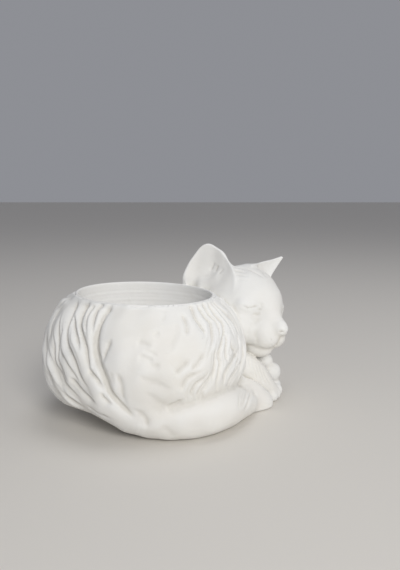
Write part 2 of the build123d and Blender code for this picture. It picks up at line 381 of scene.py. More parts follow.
def wholeField(d, p):
    g = bareBody(d, p)
    g = blend(g, d["foreleg_left"], joins["foreleg"])
    g = blend(g, d["foreleg_right"], joins["foreleg"])
    face = blend(d["head"], d["ear_right"], joins["ear"])
    face = blend(face, d["ear_root"], joins["earRoot"])
    face = blend(face, d["ear_left"], joins["ear"])
    g = blend(g, face, joins["face"])
    return -blend(-g, p[:, 2], joins["ground"])  # stands flat


def castField(p):
    return wholeField(forms(p), p)


def beyond(name, d, p):  # how far a point lies outside the stretch that belongs to a piece
    own = name if name in neighbours else "body"
    other = 0.5 * (d[own] - np.minimum.reduce([d[o] for o in neighbours[own]]))
    if own == name:
        return other
    r = np.hypot(p[:, 0], p[:, 1])
    haunch, shoulder, back = body["seams"]
    stretches = {"haunch": (haunch, shoulder), "shoulder": (shoulder, back), "torso": (back, haunch + 360)}
    start, end = stretches[name]
    half = (end - start) / 2
    turn = np.abs(turnFrom(bearing(p), start + half))
    side = r * np.sin(np.radians(np.clip(turn - half, -60, 60)))
    return np.maximum(side, other)


def pieceField(name):
    shallowDive, steepDive = 0.09, 0.05

    def field(p):
        d = forms(p)
        t = np.maximum(beyond(name, d, p), 0)
        g = wholeField(d, p) + shallowDive * t ** 2 + steepDive * t ** 4  # dives under its neighbours
        r = np.hypot(p[:, 0], p[:, 1])
        return np.maximum(g, body["cupWall"] - r)
    return field


def slope(p, field):
    nudge = 0.03
    base = field(p)
    steps = [(field(p + np.eye(3, dtype=np.float32)[i] * nudge) - base) / nudge for i in range(3)]
    return base, np.stack(steps, -1)


def edgesOf(quads):
    return np.sort(np.stack([quads, np.roll(quads, -1, 1)], -1).reshape(-1, 2), 1)


def halve(points, quads):  # each face becomes four
    pairs, where = np.unique(edgesOf(quads), axis=0, return_inverse=True)
    where = where.reshape(-1, 4) + len(points)
    middle = len(points) + len(pairs) + np.arange(len(quads))
    corners = [np.stack([quads[:, i], where[:, i], middle, where[:, i - 1]], 1) for i in range(4)]
    return np.vstack([points, points[pairs].mean(1), points[quads].mean(1)]), np.vstack(corners)


def settle(points, field, furthest):  # brings the corners of a mesh on to its field
    rounds, leastSlope = 2, 0.2
    for again in range(rounds):
        base, grad = slope(points.astype(np.float32), field)
        step = base / np.maximum((grad ** 2).sum(-1), leastSlope)
        points = points - np.clip(step, -furthest, furthest)[:, None] * grad
    return points


def skinOf(name, low, high, voxel):
    band, batch = 3.0, 250000  # band in voxels, points worked out at a time
    field = pieceField(name)
    low, high = np.asarray(low, np.float32), np.asarray(high, np.float32)
    counts = np.ceil((high - low) / voxel).astype(int) + 1
    ticks = [low[i] + voxel * np.arange(counts[i], dtype=np.float32) for i in range(3)]
    p = np.stack(np.meshgrid(*ticks, indexing="ij"), -1).reshape(-1, 3)
    d = np.concatenate([field(part) for part in np.array_split(p, len(p) // batch + 1)])
    grid = openvdb.FloatGrid(band)
    grid.copyFromArray(np.clip(d.reshape(counts) / voxel, -band, band).astype(np.float32))
    points, quads = grid.convertToQuads()
    points = settle(low + points * voxel, field, voxel)
    points, quads = halve(points, quads.astype(np.int64))
    return settle(points, field, voxel).astype(np.float32), quads


def outward(p):  # the way out of the whole cast at each point
    grad = slope(p, castField)[1]
    return grad / (np.linalg.norm(grad, axis=-1, keepdims=True) + 1e-6)


def relief(points, quads):  # below 0 in the grooves, above 0 on the ridges
    smoothRounds, evenRounds, fullHeight = 30, 3, 0.22
    edges = np.unique(edgesOf(quads), axis=0)
    a, b = edges.T
    count = np.bincount(edges.ravel(), minlength=len(points))

    def around(v):
        return (np.bincount(a, v[b], len(points)) + np.bincount(b, v[a], len(points))) / count
    normal = np.zeros((len(points), 3))
    face = np.cross(points[quads[:, 2]] - points[quads[:, 0]], points[quads[:, 3]] - points[quads[:, 1]])
    for k in range(4):
        for i in range(3):
            normal[:, i] += np.bincount(quads[:, k], face[:, i], len(points))
    normal /= np.linalg.norm(normal, axis=1, keepdims=True) + 1e-9
    smooth = [points[:, i].astype(float) for i in range(3)]
    for again in range(smoothRounds):
        smooth = [0.5 * (v + around(v)) for v in smooth]
    height = ((points - np.stack(smooth, -1)) * normal).sum(-1)
    for again in range(evenRounds):
        height = 0.5 * (height + around(height))
    return np.clip(height / fullHeight, -1, 1)


def newObject(name, points, faces, material):
    mesh = bpy.data.meshes.new(name)
    mesh.from_pydata(points, [], faces)
    mesh.materials.append(material)
    made = bpy.data.objects.new(name, mesh)
    bpy.context.scene.collection.objects.link(made)
    return made


def placePiece(node, points, faces, material):
    piece = newObject(node + "_cast", (points * mm).tolist(), faces, material)
    piece.data.shade_smooth()
    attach(piece, "root")
    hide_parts(node)
    return piece


# Fur on the side that shows: strokes cut between the locks, as (bearing, height) points, half width, depth
strokes = [
    ([(-110, 40.4), (-113, 37), (-114, 32), (-112, 27), (-107, 22), (-103, 17), (-96, 12),
      (-91, 9)], 0.9, 0.9),  # valley
    ([(-117, 40.4), (-120, 39), (-119, 36.5), (-117, 33.5), (-114, 30)], 0.8, 0.6),
    ([(-131, 40.4), (-131, 38), (-129, 35.5), (-124, 32.5), (-119, 29), (-117, 26), (-114, 22.5),
      (-107, 18)], 1.0, 1.0),
    ([(-138, 37.5), (-133, 34.5), (-127, 31.5), (-121, 27)], 0.9, 0.9),
    ([(-144, 40), (-140, 36.5), (-138, 33.5), (-135, 31), (-132, 28.5), (-127, 26), (-120, 20),
      (-114, 16.5)], 1.0, 1.15),
    ([(-142, 33.5), (-141, 30.5), (-139, 28), (-136, 25.5), (-128, 23)], 0.8, 0.75),
    ([(-150, 36), (-146, 32.5), (-143, 29.5), (-141, 26.5), (-139, 23.5), (-134, 20.5),
      (-128, 17.5)], 0.9, 0.9),
    ([(-150, 31), (-146, 28), (-144, 24.5), (-141, 21.5), (-135, 19), (-130, 16.5), (-121, 13)], 0.9, 0.8),
    ([(-128, 19.5), (-124, 18), (-116, 14.5), (-111, 13)], 0.8, 0.6),
    ([(-116, 23.5), (-113, 22), (-110, 20.5), (-105, 17)], 0.9, 0.9),
    ([(-108, 17), (-106, 15), (-102, 13)], 0.7, 0.5),
    ([(-134, 14.5), (-127, 11.5), (-119, 9), (-110, 7.5)], 0.8, 0.6),
    ([(-120, 11.5), (-112, 9.5), (-104, 8.5)], 0.7, 0.5),
    ([(-124, 40), (-125, 37), (-122, 34), (-119, 31.5)], 0.6, 0.45),
    ([(-136, 27), (-131, 23.5), (-125, 20.5), (-120, 17.5)], 0.6, 0.45),
    ([(-100, 23), (-98, 21), (-97, 18.5), (-97, 16), (-95, 13)], 1.2, 0.5),  # back of the thigh
    ([(-103, 23), (-102, 21), (-100, 18.5)], 0.8, 0.3),
    ([(-104, 32), (-105, 30), (-107, 27), (-108, 24)], 0.8, 0.5),
    ([(-92, 12), (-87, 10), (-85, 8), (-85, 5.5)], 1.2, 0.43),
    ([(-78, 7), (-74, 4.5), (-70, 2)], 1.1, 0.3),
    ([(-90, 31.5), (-86, 31), (-82, 30)], 0.8, 0.3),  # short strokes on the smooth of the thigh
    ([(-89, 28), (-85, 27), (-81, 26)], 0.8, 0.36),
    ([(-87, 29.2), (-83, 28.6), (-79, 27.4)], 0.6, 0.22),
    ([(-85, 25.8), (-81, 25), (-78, 24.4)], 0.7, 0.22),
    ([(-89, 22.5), (-85, 21), (-80, 20), (-76, 18.5), (-72, 18)], 1.0, 0.4),
    ([(-87, 18), (-81, 15), (-77, 13), (-74, 12)], 1.1, 0.3),
    ([(-75, 11.8), (-71, 12.5), (-66, 14.4)], 0.9, 0.45),
    ([(-81, 32.5), (-79, 33.2), (-77, 33.6)], 0.6, 0.25),
    ([(-71, 39), (-73, 37), (-76, 35.5)], 0.9, 0.25),
    ([(-66, 36), (-66, 34), (-70, 31), (-73, 28)], 0.9, 0.28),
    ([(-60, 38), (-59, 36), (-60, 33.5), (-62, 32)], 0.8, 0.5),  # flank
    ([(-48, 39.6), (-50, 36.5), (-49, 34.5), (-48, 32.5), (-50, 30.5)], 0.8, 0.75),
    ([(-53, 27), (-56, 25.5), (-60, 23.5), (-63, 22.5)], 0.8, 0.45),
    ([(-42, 39.4), (-41, 36), (-39, 34.5), (-41, 32.5), (-44, 30), (-48, 28), (-54, 24.4)], 0.8, 0.75),
    ([(-62, 26), (-68, 23.5), (-71, 22)], 0.9, 0.5),
    ([(-56, 22), (-61, 21.3), (-65, 20.4), (-67, 18.5), (-67, 16.5)], 0.8, 0.45),
    ([(-52, 22), (-55, 19.5), (-59, 18.5), (-61, 17.4), (-62, 15.5), (-60, 13.5)], 0.7, 0.6),
    ([(-50, 20.5), (-54, 18.3), (-56, 17), (-58, 15), (-57, 12.5)], 0.7, 0.6),
    ([(-49, 23.5), (-51, 20), (-54, 17), (-56, 15), (-54, 12.5)], 0.6, 0.5),
    ([(-44, 28), (-46, 25), (-48, 22), (-51, 17)], 0.8, 0.7),
    ([(-35, 39.4), (-36, 36.5), (-33, 34.4), (-34, 32), (-38, 29.5), (-43, 26.5)], 0.8, 0.7),
    ([(-29, 39.2), (-29, 36), (-27, 33), (-31, 30.5), (-39, 27.5), (-43, 25), (-43, 23), (-45, 20.5),
      (-47, 17), (-46, 14)], 0.9, 0.9),
    ([(-30, 32), (-31, 29), (-35, 26.5), (-37, 24), (-36, 22)], 0.8, 0.75),
    ([(-28, 28.5), (-29, 26), (-26, 24), (-28, 22.8), (-35, 21.4)], 0.7, 0.6),
    ([(-21, 25), (-24, 23), (-31, 21.4), (-37, 20), (-40, 18), (-41, 15.5)], 0.8, 0.75),
    ([(-14, 20), (-23, 18.4), (-30, 16.5), (-34, 15.4), (-38, 14.4)], 0.8, 0.8),
    ([(-14, 30), (-17, 26), (-21, 22), (-27, 19.5), (-33, 17.5)], 0.7, 0.65),
    ([(-19, 39), (-17, 37), (-15, 34.5), (-11, 32), (-11, 28), (-14, 25)], 0.7, 0.6),
    ([(-24, 39), (-22, 36), (-20, 33), (-21, 29.5), (-25, 27)], 0.7, 0.6),
    ([(-12, 26), (-14, 22), (-19, 17), (-25, 14)], 0.7, 0.7),
]

# Fur on the back and the shoulder, which the strokes leave free: guides from rim to foot
fur = {
    "broad": {"gap": 3.0, "width": 1.7, "height": 1.05, "rows": 2},
    "chest": {"gap": 2.4, "width": 1.3, "height": 0.7, "rows": 2},
    "fine": {"gap": 1.5, "width": 0.9, "height": 0.42, "rows": 3},
    "back": [
        [(-152, 40), (-157, 35), (-153, 30), (-146, 24), (-136, 18), (-126, 12), (-116, 6)],
        [(-178, 40), (-186, 35), (-184, 29), (-174, 23), (-162, 17), (-150, 11), (-141, 6)],
        [(-200, 40), (-209, 35), (-208, 29), (-199, 23), (-187, 17), (-175, 11), (-166, 6)],
        [(-224, 40), (-234, 35), (-234, 29), (-226, 23), (-214, 17), (-202, 11), (-193, 6)],
        [(-250, 40), (-260, 35), (-261, 29), (-254, 23), (-243, 17), (-231, 11), (-222, 6)],
        [(-278, 40), (-288, 35), (-290, 29), (-284, 23), (-273, 17), (-262, 11), (-253, 6)],
        [(-302, 40), (-310, 35), (-313, 29), (-309, 23), (-300, 17), (-290, 11), (-282, 6)],
        [(-322, 40), (-326, 35), (-329, 29), (-328, 23), (-322, 17), (-314, 11), (-308, 6)],
    ],
    "shoulder": [
        [(-6, 39), (-3, 34), (-5, 29), (-9, 24), (-15, 18), (-22, 12)],
        [(6, 39), (9, 34), (7, 29), (2, 24), (-4, 18), (-10, 12)],
        [(18, 39), (20, 34), (18, 29), (14, 23), (8, 17), (2, 11)],
    ],
}

nape = {  # hair combed from the crown down the back of the head, by bearing from the face and by rise
    "rows": [(74, 18, 196, 12), (40, -24, 222, 16), (4, -52, 222, 14)],  # top, foot, last bearing, count
    "firstWay": 112, "points": 9, "radius": 14.6,
}

# Lines on the legs, the heel and the near ear, in millimetres of the frame, half width, depth
legLines = [
    ([(34.7, 5.5, 15.9), (35.4, 3.8, 13.8), (35.9, 3.3, 11.3),
      (36.1, 3.3, 10.0)], 0.4, 0.3),  # hair of the near foreleg
    ([(35.8, 5.8, 15.4), (36.7, 4.2, 13.0), (37.4, 3.7, 10.5), (37.8, 3.7, 8.9)], 0.4, 0.35),
    ([(36.8, 5.8, 14.6), (38.0, 4.6, 12.2), (39.0, 4.2, 9.7), (39.7, 4.3, 7.4)], 0.4, 0.3),
    ([(38.0, 6.4, 14.0), (39.4, 5.1, 11.4), (40.6, 4.9, 8.8), (41.7, 5.1, 5.8)], 0.4, 0.35),
    ([(39.2, 6.5, 12.9), (40.7, 5.5, 10.3), (42.3, 5.6, 7.3), (43.0, 6.0, 5.5)], 0.35, 0.25),
    ([(31.5, 26.5, 12.0), (36.0, 25.8, 10.6), (40.0, 24.0, 8.4)], 0.5, 0.4),  # hair of the far foreleg
    ([(31.0, 26.8, 9.5), (36.0, 26.2, 8.6), (40.4, 24.4, 6.4)], 0.5, 0.45),
    ([(31.0, 26.6, 7.0), (35.5, 25.8, 6.2), (39.6, 24.0, 4.4)], 0.5, 0.4),
    ([(32.0, 25.0, 14.4), (36.4, 24.2, 13.0), (40.0, 22.4, 11.0)], 0.5, 0.35),
    ([(34.5, -4.5, 9.1), (33.1, -12.2, 9.3), (32.1, -17.0, 8.3),
      (30.9, -20.0, 7.4)], 0.6, 0.5),  # hair over the heel
    ([(35.6, -4.7, 8.2), (34.1, -11.8, 7.9), (33.1, -15.5, 6.6), (31.7, -18.6, 5.9)], 0.6, 0.55),
    ([(31.8, -9.0, 10.3), (30.9, -16.6, 10.5), (30.3, -20.0, 9.1), (30.0, -21.3, 7.3)], 0.6, 0.4),
    ([(33.3, -4.8, 9.6), (31.9, -14.3, 10.0), (31.1, -18.9, 8.7), (30.4, -20.7, 7.3)], 0.5, 0.4),
    ([(34.9, -8.2, 7.4), (36.0, -5.5, 7.1), (37.3, -3.6, 6.3)], 0.9, 0.4),  # dimple of the hind paw
    ([(22.0, 19.7, 44.5), (22.7, 20.1, 46.5), (23.7, 19.9, 47.6)], 0.5, 0.35),  # hair in the near ear
    ([(23.4, 18.5, 44.1), (24.3, 19.1, 45.7), (24.9, 19.1, 46.8)], 0.5, 0.4),
    ([(24.6, 16.0, 43.6), (25.9, 17.0, 44.8), (27.0, 16.7, 45.6)], 0.5, 0.4),
]


def onBody(spots):  # from bearing and height, inwards until the body is met
    startRadius, leastRadius, rounds, share = 46.0, 22.8, 26, 0.9  # share of the way made in a round
    spots = np.asarray(spots, float)
    a = np.radians(spots[:, 0])
    r = np.full(len(spots), startRadius)
    for again in range(rounds):
        p = np.stack([r * np.cos(a), r * np.sin(a), spots[:, 1]], -1).astype(np.float32)
        r = np.maximum(r - share * bareBody(forms(p), p), leastRadius)
    return p


def settleLine(line):  # brings a drawn line on to the cast
    rounds, leastSlope = 5, 0.3
    p = np.asarray(line, np.float32)
    for again in range(rounds):
        base, grad = slope(p, castField)
        p = p - (base / np.maximum((grad ** 2).sum(-1), leastSlope))[:, None] * grad
    return p


def settleAll(drawn, bring):  # one settling call for all lines
    settled = bring(np.vstack([one["spot"] for one in drawn]))
    at = 0
    for one in drawn:
        one["points"] = settled[at:at + len(one["spot"])].astype(np.float32)
        at += len(one["spot"])
    return drawn


def drawLocks(guides, gap, width, height, rows):
    meanRadius, fewest = 31, 7  # of the body, and points in a lock
    drawn = []
    lines = [curveThrough(g, 6) for g in guides]
    for a, b in zip(lines, lines[1:]):
        count = min(len(a), len(b))
        a = a[np.linspace(0, len(a) - 1, count).astype(int)]
        b = b[np.linspace(0, len(b) - 1, count).astype(int)]
        across = np.radians(np.abs(a[:, 0] - b[:, 0]).mean()) * meanRadius
        each = max(1, round(across / gap))
        for i in range(each):
            line = a + (b - a) * (i + 0.2 + 0.6 * dice.random()) / each
            shift = 0.5 * (i % 2) - 0.35
            for row in range(rows):
                start = np.clip((row + shift + 0.4 * dice.random()) / rows, 0, 1)
                end = np.clip(start + (1.0 + 0.6 * dice.random()) / rows, 0, 1)
                part = line[int(start * (count - 1)):int(end * (count - 1)) + 1]
                if len(part) < fewest:
                    continue
                t = np.linspace(0, 1, len(part)) * math.pi
                sway = dice.normal() * 1.2 * np.sin(t) + dice.normal() * 0.7 * np.sin(t * 2)
                drawn.append({
                    "spot": np.column_stack([part[:, 0] + sway, part[:, 1]]), "root": row == 0,
                    "width": width * (0.75 + 0.5 * dice.random()),
                    "height": height * (0.6 + 0.5 * dice.random()),
                    "lean": dice.uniform(-0.5, 0.5),
                })
    return settleAll(drawn, onBody)


def drawStrokes():  # the strokes, and thin ones that run beside the deep ones
    faint, paired = 0.42, 0.55  # depths: softened below the first, thin ones beside from the second
    rumpEnds, rimStarts, perDegree = -105, 38, 0.55  # bearing, level, millimetres to a degree
    deepen, faintLess, rumpMore, flankMore = 1.5, 0.4, 1.3, 1.1
    thinWidth, thinShare, thinGap, fewest = 0.45, 0.6, (1.0, 1.7), 4
    drawn = []
    for points, width, depth in strokes:
        line = curveThrough(points, 5)
        broad = 1.0 + 0.5 * (depth < faint)  # the faint ones are also the softest
        deep = (deepen - faintLess * (depth < faint)) * (rumpMore if points[0][0] < rumpEnds else flankMore)
        drawn.append({"spot": line, "width": width * broad, "depth": deep * depth,
                      "root": points[0][1] > rimStarts})
        if depth < paired:
            continue
        along = np.gradient(line * (perDegree, 1), axis=0)
        aside = np.column_stack([-along[:, 1] / perDegree, along[:, 0]])
        aside = aside / np.linalg.norm(along, axis=1, keepdims=True)
        for side in (-1, 1):
            first, last = sorted((dice.uniform(0, 0.45), dice.uniform(0.55, 1)))
            part = slice(int(first * len(line)), int(last * len(line)) + 1)
            if len(line[part]) > fewest:
                beside = line[part] + side * dice.uniform(*thinGap) * aside[part]
                drawn.append({"spot": beside, "width": thinWidth, "depth": thinShare * depth})
    return settleAll(drawn, onBody)


def drawFace():  # a line on the middle of the face is cut once, the others on both sides
    drawn = []
    for points, width, depth in faceLines:
        for side in (1, -1) if any(l for f, l, u in points) else (1,):
            spot = np.array([onHead(f, side * l, u) for f, l, u in curveThrough(points, 5)])
            drawn.append({"spot": spot, "width": width, "depth": depth})
    return settleAll(drawn, settleLine)


def drawPits():
    return settleAll([
        {"spot": np.array([onHead(f, side * l, u), onHead(f, side * l, u - pit["length"])]),
         "width": pit["width"], "depth": pit["depth"]}
        for f, l, u in whiskerPits for side in (1, -1)], settleLine)


def drawNape():
    drawn = []
    for top, foot, lastWay, count in nape["rows"]:
        for way in np.linspace(nape["firstWay"], lastWay, count) + dice.uniform(-3, 3, count):
            rise = np.linspace(top + dice.uniform(-6, 6), foot + dice.uniform(-8, 8), nape["points"])
            swing, start = dice.uniform(4, 9), dice.uniform(0, 6)
            turn = way + swing * np.sin(np.linspace(0, 3.6, nape["points"]) + start)
            rise, turn = np.radians(rise), np.radians(turn)
            spot = np.stack([np.cos(rise) * np.cos(turn), np.cos(rise) * np.sin(turn), np.sin(rise)], -1)
            spot = spot * nape["radius"] + head["skull"][0]
            drawn.append({"spot": np.array([onHead(*s) for s in spot]),
                          "width": dice.uniform(0.7, 1.0), "depth": dice.uniform(0.5, 0.85)})
    return settleAll(drawn, settleLine)


def nearLine(q, line):  # squared distance, share of the way along, and side
    best = np.full(len(q), 1e9, np.float32)
    along = np.zeros(len(q), np.float32)
    side = np.zeros(len(q), np.float32)
    for i in range(len(line) - 1):
        d = line[i + 1] - line[i]
        t = np.clip(((q - line[i]) @ d) / (d @ d + 1e-9), 0, 1)
        off = q - line[i] - t[:, None] * d
        gap = (off ** 2).sum(-1)
        closer = gap < best
        best[closer] = gap[closer]
        along[closer] = (i + t[closer]) / (len(line) - 1)
        side[closer] = np.sign(off[closer] @ np.cross(d, line[i] * (1, 1, 0)))
    return best, along, side


def nearTo(p, line, reach):
    return np.nonzero(((p > line.min(0) - reach) & (p < line.max(0) + reach)).all(-1))[0]


def lockHeight(p, locks):  # rounded ridges with tapered tips
    rootStart, freeStart, tip, fullness = 0.12, 0.40, 0.50, 2.6
    total = np.zeros(len(p), np.float32)
    for lock in locks:
        near = nearTo(p, lock["points"], lock["width"] * 1.1 + 1.2)
        if not len(near):
            continue
        best, along, side = nearLine(p[near], lock["points"])
        start = rootStart if lock["root"] else freeStart
        taper = ease(np.minimum(along / start, (1 - along) / tip), 0, 1)
        x = np.sqrt(best) / (lock["width"] * (0.2 + 0.8 * taper))
        ridge = np.clip(1 - x ** fullness, 0, 1) * (1 + lock["lean"] * side * x)
        total[near] = np.maximum(total[near], ridge * lock["height"] * taper)
    return total


def cutDepth(p, lines, soft=1.0):  # grooves with rounded banks that meet their neighbours
    fromRim, free = (0.06, 0.45), (0.3, 0.3)  # shares of the length over which the two ends run out
    reach, whole, bottom, fall, lopsided = 5, 3, 0.4, 1.25, 0.25  # the first three in half widths
    total = np.zeros(len(p), np.float32)
    for line in lines:
        near = nearTo(p, line["points"], line["width"] * reach * soft)
        if not len(near):
            continue
        best, along, side = nearLine(p[near], line["points"])
        start, end = fromRim if line.get("root") else free  # those from the rim start at once
        taper = ease(np.minimum(along / start, (1 - along) / end), -0.2, 1)
        x = np.sqrt(best) / (line["width"] * (0.5 + 0.5 * taper) * (1 + lopsided * side))
        cut = np.exp(-(np.sqrt(x * x + bottom ** 2) - bottom) * fall / soft)
        cut = cut * ease(x, reach * soft, whole * soft)
        total[near] += (line["depth"] * taper * cut) ** 3
    return np.cbrt(total)


broadLocks = drawLocks(fur["back"], **fur["broad"])
broadLocks += drawLocks(fur["shoulder"], **fur["chest"])
fineLocks = drawLocks(fur["back"], **fur["fine"])
furStrokes = drawStrokes()
faceStrokes = drawFace() + drawPits()
napeStrokes = drawNape()
legStrokes = settleAll([{"spot": curveThrough(points, 4), "width": width, "depth": depth}
                        for points, width, depth in legLines], settleLine)
print("fur drawn:", len(broadLocks) + len(fineLocks), "locks and", len(furStrokes), "strokes")

waves = [(unit(dice.normal(size=3)) * 2 * math.pi / dice.uniform(5, 12), dice.uniform(0, 6.3))
         for i in range(9)]


def dressing(p):  # how far the finished surface stands off the smooth cast
    waveHeight, faceSoft = 0.05, 0.6
    r = np.hypot(p[:, 0], p[:, 1])
    level = p[:, 2] + rimFall(p[:, 0], p[:, 2])
    lift = lockHeight(p, broadLocks) + lockHeight(p, fineLocks)
    lift = lift * ease(level, 40.2, 37.4) - cutDepth(p, furStrokes)
    lift = lift + waveHeight * sum(np.sin(p @ k + phase) for k, phase in waves)  # never quite even
    lift = lift * ease(r, 22.75, 23.4) - cutDepth(p, faceStrokes, faceSoft)
    return lift - cutDepth(p, legStrokes) - cutDepth(p, napeStrokes)


# Materials: an unglazed white cast, with painted warm shade and dust in its grooves
def newGroup(name, sockets):
    group = bpy.data.node_groups.new(name, "ShaderNodeTree")
    for way, kind, label in sockets:
        group.interface.new_socket(name=label, in_out=way, socket_type="NodeSocket" + kind)
    return group, group.nodes.new("NodeGroupInput").outputs, group.nodes.new("NodeGroupOutput").inputs


def add(tree, kind, links=None, **values):  # a node with its values set and its inputs linked
    node = tree.nodes.new("ShaderNode" + kind)
    for key, value in values.items():
        if hasattr(node, key):
            setattr(node, key, value)
        else:
            node.inputs[key].default_value = value
    for socket, source in (links or {}).items():
        tree.links.new(source, node.inputs[socket])
    return node


def times(tree, source, factor):
    node = add(tree, "Math", {0: source}, operation="MULTIPLY")
    node.inputs[1].default_value = factor
    return node.outputs[0]


def fromTo(a, b, c, d):
    return {"From Min": a, "From Max": b, "To Min": c, "To Max": d}


def castGrainGroup():  # fine tooth of the cast, and pinholes left by air bubbles
    group, given, out = newGroup("castGrain", [
        ("INPUT", "Float", "Grain Scale"), ("INPUT", "Float", "Pinhole Scale"),
        ("INPUT", "Float", "Pinhole Size"),
        ("OUTPUT", "Float", "Height"), ("OUTPUT", "Float", "Pinholes"), ("OUTPUT", "Float", "Roughness")])
    place = add(group, "TexCoord").outputs["Object"]
    toothLinks = {"Vector": place, "Scale": given["Grain Scale"]}
    tooth = add(group, "TexNoise", toothLinks, Detail=5.0, Roughness=0.62)
    broad = add(group, "TexNoise", {"Vector": place}, Scale=260.0, Detail=3.0, Roughness=0.5)
    cells = add(group, "TexVoronoi", {"Vector": place, "Scale": given["Pinhole Scale"]}, Randomness=1.0)
    thin = add(group, "TexNoise", {"Vector": place}, Scale=75.0, Detail=1.0)
    crowd = add(group, "MapRange", {0: thin.outputs[0]}, **fromTo(0.5, 0.72, 0.0, 1.0))
    limit = add(group, "Math", {0: crowd.outputs[0], 1: given["Pinhole Size"]}, operation="MULTIPLY")
    over = add(group, "Math", {0: cells.outputs["Distance"], 1: limit.outputs[0]}, operation="LESS_THAN")
    softTooth = times(group, tooth.outputs[0], 0.55)
    mixed = add(group, "Math", {0: softTooth, 1: broad.outputs[0]}, operation="ADD")
    sunk = add(group, "Math", {0: mixed.outputs[0], 1: over.outputs[0]}, operation="SUBTRACT")
    rough = add(group, "MapRange", {0: mixed.outputs[0]}, **fromTo(0.55, 1.0, 0.48, 0.66))
    for label, node in (("Height", sunk), ("Pinholes", over), ("Roughness", rough)):
        group.links.new(node.outputs[0], out[label])
    return group


def mixColours(tree, kind, factor, a, b):
    node = add(tree, "Mix", data_type="RGBA", blend_type=kind)
    for socket, value in zip((node.inputs["Factor"], node.inputs[6], node.inputs[7]), (factor, a, b)):
        if isinstance(value, (float, tuple)):
            socket.default_value = value
        else:
            tree.links.new(value, socket)
    return node.outputs[2]


def castToneGroup():  # white that drifts a little, with painted shade and dust in the grooves and painted highlights on the ridges
    group, given, out = newGroup("castTone", [
        ("INPUT", "Color", "White"), ("INPUT", "Color", "Cream"), ("INPUT", "Color", "Shade and Dust"),
        ("INPUT", "Color", "Ridge Highlight"), ("INPUT", "Float", "Pinholes"), ("OUTPUT", "Color", "Colour")])
    place = add(group, "TexCoord").outputs["Object"]
    drift = add(group, "TexNoise", {"Vector": place}, Scale=42.0, Detail=4.0, Roughness=0.55)
    mottle = add(group, "TexNoise", {"Vector": place}, Scale=420.0, Detail=3.0)
    patch = add(group, "MapRange", {0: drift.outputs[0]}, **fromTo(0.36, 0.66, 0.0, 1.0))
    colour = mixColours(group, "MIX", patch.outputs[0], given["White"], given["Cream"])
    height = add(group, "Attribute", attribute_name="relief").outputs["Fac"]
    stray = add(group, "Math", {0: height, 1: mottle.outputs[0]}, operation="ADD")  # ragged edge to the painted shade and dust
    # painted shade and dust: the grooves, where the relief is low, turn to the groove colour
    deep = add(group, "MapRange", {0: stray.outputs[0]}, **fromTo(0.40, -0.45, 0.0, 1.0))
    colour = mixColours(group, "MIX", deep.outputs[0], colour, given["Shade and Dust"])
    # painted highlight on the ridges, where the relief is high
    high = add(group, "MapRange", {0: height}, **fromTo(0.15, 0.9, 0.0, 0.6))
    colour = mixColours(group, "MIX", high.outputs[0], colour, given["Ridge Highlight"])
    # painted shade and dust in the pinholes
    pinholeShadeAndDust = times(group, given["Pinholes"], 0.5)
    colour = mixColours(group, "MIX", pinholeShadeAndDust, colour, given["Shade and Dust"])
    group.links.new(colour, out["Colour"])
    return group


castGrain, castTone = castGrainGroup(), castToneGroup()


def castMaterial(name, look):
    material = bpy.data.materials.new(name)
    material.use_nodes = True
    tree = material.node_tree
    bsdf = tree.nodes["Principled BSDF"]
    bsdf.inputs["Specular IOR Level"].default_value = 0.35
    grain = add(tree, "Group", node_tree=castGrain)
    tone = add(tree, "Group", node_tree=castTone)
    for node in (grain, tone):
        for socket in node.inputs:
            if socket.name in look:
                socket.default_value = look[socket.name]
    tree.links.new(grain.outputs["Pinholes"], tone.inputs["Pinholes"])
    skin = add(tree, "Bump", {"Height": grain.outputs["Height"]}, Strength=1.0, Distance=look["depth"])
    tree.links.new(tone.outputs["Colour"], bsdf.inputs["Base Color"])
    tree.links.new(grain.outputs["Roughness"], bsdf.inputs["Roughness"])
    tree.links.new(skin.outputs["Normal"], bsdf.inputs["Normal"])
    return material


# In each finish the groove colour is painted shade with dust, and the ridge colour is a painted highlight
finishes = {
    "furCast": {
        "Grain Scale": 1900.0, "Pinhole Scale": 420.0, "Pinhole Size": 0.075, "depth": 0.00005,
        "White": (0.86, 0.855, 0.83, 1), "Cream": (0.84, 0.82, 0.77, 1),
        "Shade and Dust": (0.75, 0.73, 0.68, 1), "Ridge Highlight": (0.90, 0.90, 0.88, 1),
    },
    "smoothCast": {
        "Grain Scale": 2300.0, "Pinhole Scale": 360.0, "Pinhole Size": 0.07, "depth": 0.00004,
        "White": (0.87, 0.865, 0.84, 1), "Cream": (0.85, 0.83, 0.785, 1),
        "Shade and Dust": (0.75, 0.73, 0.68, 1), "Ridge Highlight": (0.90, 0.90, 0.88, 1),
    },
    "cupCast": {
        "Grain Scale": 1500.0, "Pinhole Scale": 300.0, "Pinhole Size": 0.08, "depth": 0.00006,
        "White": (0.91, 0.905, 0.885, 1), "Cream": (0.89, 0.875, 0.84, 1),
        "Shade and Dust": (0.76, 0.74, 0.68, 1), "Ridge Highlight": (0.88, 0.88, 0.86, 1),
    },
}
cast = {name: castMaterial(name, look) for name, look in finishes.items()}
print("materials mixed")

# Planting cup, turned round the mouth axis
cup = {
    "profile": [(0, 0), (12.6, 0), (13.0, 0.4), (23.0, 10.4), (23.2, 11.4), (23.2, 38.6), (22.9, 39.8),
                (22.65, 40.2), (22.4, 40.3), (22.15, 40.2), (22.0, 39.9), (22.0, 15.0), (21.2, 12.0),
                (19.2, 9.9), (16.0, 9.0), (0, 9.0)],
    "steps": 192, "spacing": 0.4, "ringRadius": 22.2, "ringReach": (12, 39.5),
    "rings": [(0.035, 4.6, 0), (0.03, 2.7, 1)],  # height, waves to a millimetre, start
}


